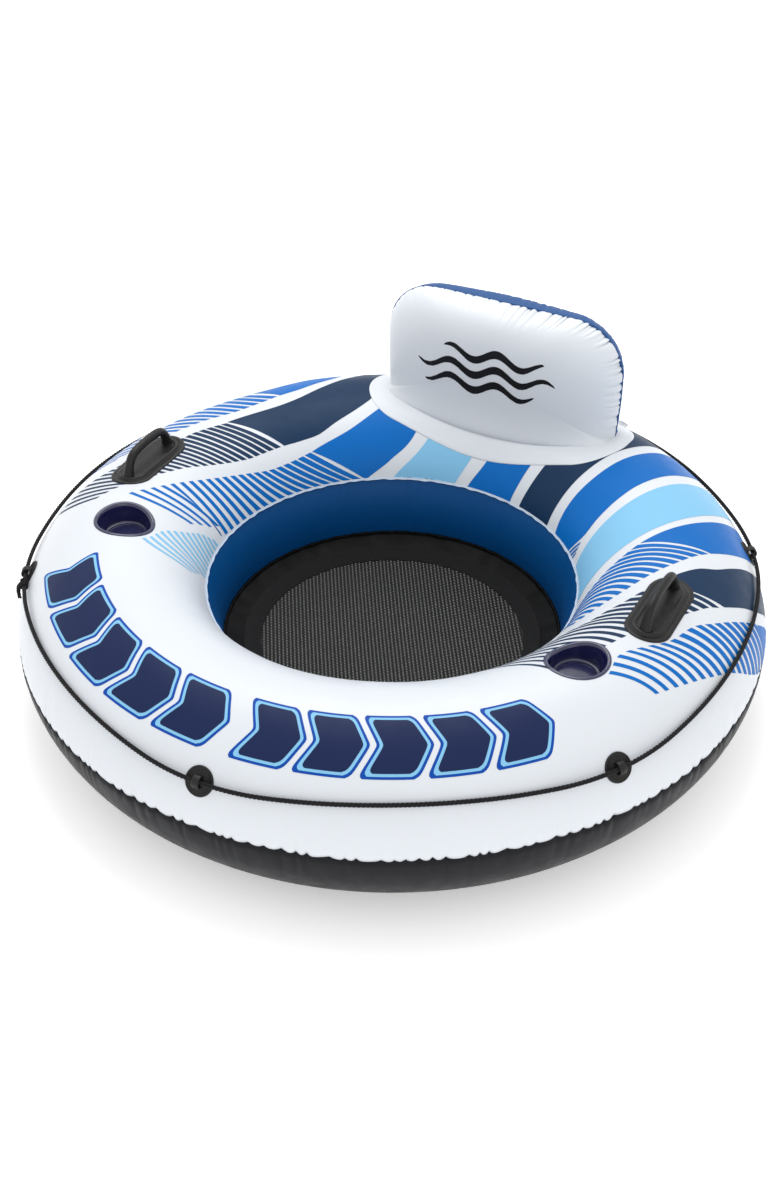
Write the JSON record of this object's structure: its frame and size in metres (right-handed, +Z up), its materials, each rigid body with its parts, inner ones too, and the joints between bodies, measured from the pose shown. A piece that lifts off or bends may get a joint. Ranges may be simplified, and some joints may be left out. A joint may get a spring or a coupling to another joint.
{
  "type": "inflatable river tube",
  "caption": "Round inflatable ring seat for floating on water, with a mesh floor, an inflated backrest, cup holders, grab handles and a rope held around its outside by lugs.",
  "frame": {"origin": "on the ground at the middle of the ring", "axes": "+Z up, -Y towards the front of the ring, +Y towards the backrest, +X to the rider's left when seated facing the front, which is the right seen from the front"},
  "size_m": [1.3578, 1.358, 0.5597],
  "materials": {
    "white_vinyl": "satin printed vinyl",
    "blue_vinyl": "satin vinyl",
    "black_vinyl": "satin vinyl",
    "navy_vinyl": "satin vinyl",
    "black_webbing": "woven binding",
    "black_mesh": "open woven mesh",
    "black_rope": "twisted rope",
    "navy_clear_vinyl": "glossy translucent vinyl",
    "black_moulding": "moulded, fine grain",
    "valve_vinyl": "soft clear vinyl",
    "valve_rubber": "matt"
  },
  "bodies": {
    "ring": {"ring_top_skin": "white_vinyl", "ring_inner_wall": "blue_vinyl", "ring_bottom_skin": "black_vinyl", "outer_weld_seam": "white_vinyl", "rim_weld_seam": "white_vinyl", "floor_weld_seam": "black_vinyl", "floor_skirt": "black_vinyl", "floor_binding": "black_webbing", "floor_mesh": "black_mesh", "grab_rope": "black_rope", "rope_knot": "black_rope", "left_cup_holder": "navy_clear_vinyl", "right_cup_holder": "navy_clear_vinyl", "left_handle": "black_moulding", "right_handle": "black_moulding", "rope_lug_1": "black_moulding", "rope_lug_2": "black_moulding", "rope_lug_3": "black_moulding", "rope_lug_4": "black_moulding", "rope_lug_5": "black_moulding", "rope_lug_6": "black_moulding", "ring_valve_body": "valve_vinyl", "backrest_base_flange": "white_vinyl"},
    "backrest": {"backrest_front_panel": "white_vinyl", "backrest_back_panel": "navy_vinyl", "backrest_weld_seam": "white_vinyl", "backrest_valve_body": "valve_vinyl"},
    "ring_valve_plug": {"ring_valve_plug": "valve_vinyl"},
    "ring_valve_flap": {"ring_valve_flap": "valve_rubber"},
    "backrest_valve_plug": {"backrest_valve_plug": "valve_vinyl"},
    "backrest_valve_flap": {"backrest_valve_flap": "valve_rubber"}
  },
  "joints": [
    {"name": "backrest_lean", "type": "hinge", "parent": "ring", "child": "backrest", "pos_m": [0, 0.4697, 0.3877], "axis": [-1, 0, 0], "range_deg": [-8, 20], "stiffness_Nm_per_rad": 12},
    {"name": "ring_valve_plug_hinge", "type": "hinge", "parent": "ring", "child": "ring_valve_plug", "pos_m": [0.20439, 0.59664, 0.28557], "axis": [-0.2418, -0.6645, 0.7071], "range_deg": [0, 150]},
    {"name": "ring_valve_flap_hinge", "type": "hinge", "parent": "ring", "child": "ring_valve_flap", "pos_m": [0.20261, 0.57773, 0.26718], "axis": [0.2418, 0.6645, -0.7071], "range_deg": [0, 60], "stiffness_Nm_per_rad": 0.0002, "springref_deg": -11.46},
    {"name": "backrest_valve_plug_hinge", "type": "hinge", "parent": "backrest", "child": "backrest_valve_plug", "pos_m": [0.108, 0.53674, 0.44654], "axis": [0, 0.0175, 0.9998], "range_deg": [0, 150]},
    {"name": "backrest_valve_flap_hinge", "type": "hinge", "parent": "backrest", "child": "backrest_valve_flap", "pos_m": [0.1128, 0.51074, 0.44699], "axis": [0, -0.0175, -0.9998], "range_deg": [0, 60], "stiffness_Nm_per_rad": 0.0002, "springref_deg": -11.46}
  ]
}
